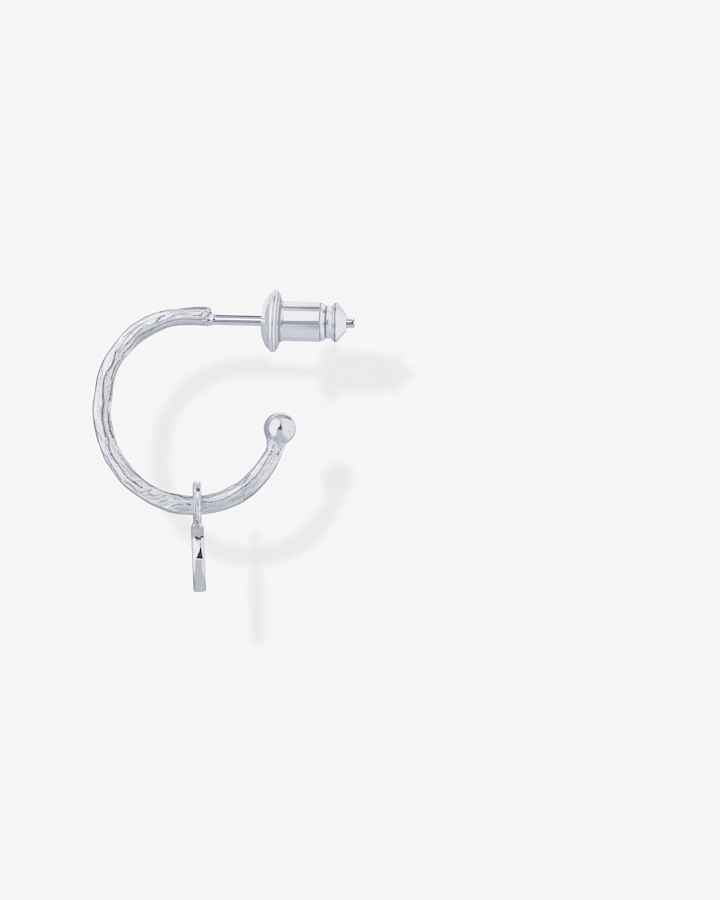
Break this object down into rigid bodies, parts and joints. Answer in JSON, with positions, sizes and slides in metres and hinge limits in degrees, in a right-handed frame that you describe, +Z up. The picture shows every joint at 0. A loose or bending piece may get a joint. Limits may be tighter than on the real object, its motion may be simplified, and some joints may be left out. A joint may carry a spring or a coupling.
{
  "type": "hoop charm earring",
  "caption": "Open hoop earring of carved silver wire with a ball end, a straight post, a plain round disc charm on a bail ring and a bullet clutch.",
  "frame": {"origin": "on the post's axis, at the middle of the gap between the wire's end and the clutch, where the ear lobe sits", "axes": "+X along the post, from the hoop towards its tip; +Z up, with the hoop hanging below the post in the XZ plane; +Y through the hoop, away from the picture's camera"},
  "size_m": [0.0194, 0.005, 0.0225],
  "materials": {
    "carved_silver": "carved and polished silver",
    "polished_silver": "mirror-polished silver",
    "satin_silver": "soft satin silver"
  },
  "bodies": {
    "hoop": {"hoop": "carved_silver"},
    "charm": {"charm": "polished_silver"},
    "clutch": {"clutch": "satin_silver"}
  },
  "joints": [
    {"name": "charm_swing", "type": "hinge", "parent": "hoop", "child": "charm", "pos_m": [-0.00238, 0, -0.0138], "axis": [0.998, 0, 0.0628], "continuous": true},
    {"name": "clutch_slide", "type": "slide", "parent": "hoop", "child": "clutch", "axis": [1, 0, 0], "range_m": [-0.0034, 0.012]}
  ]
}
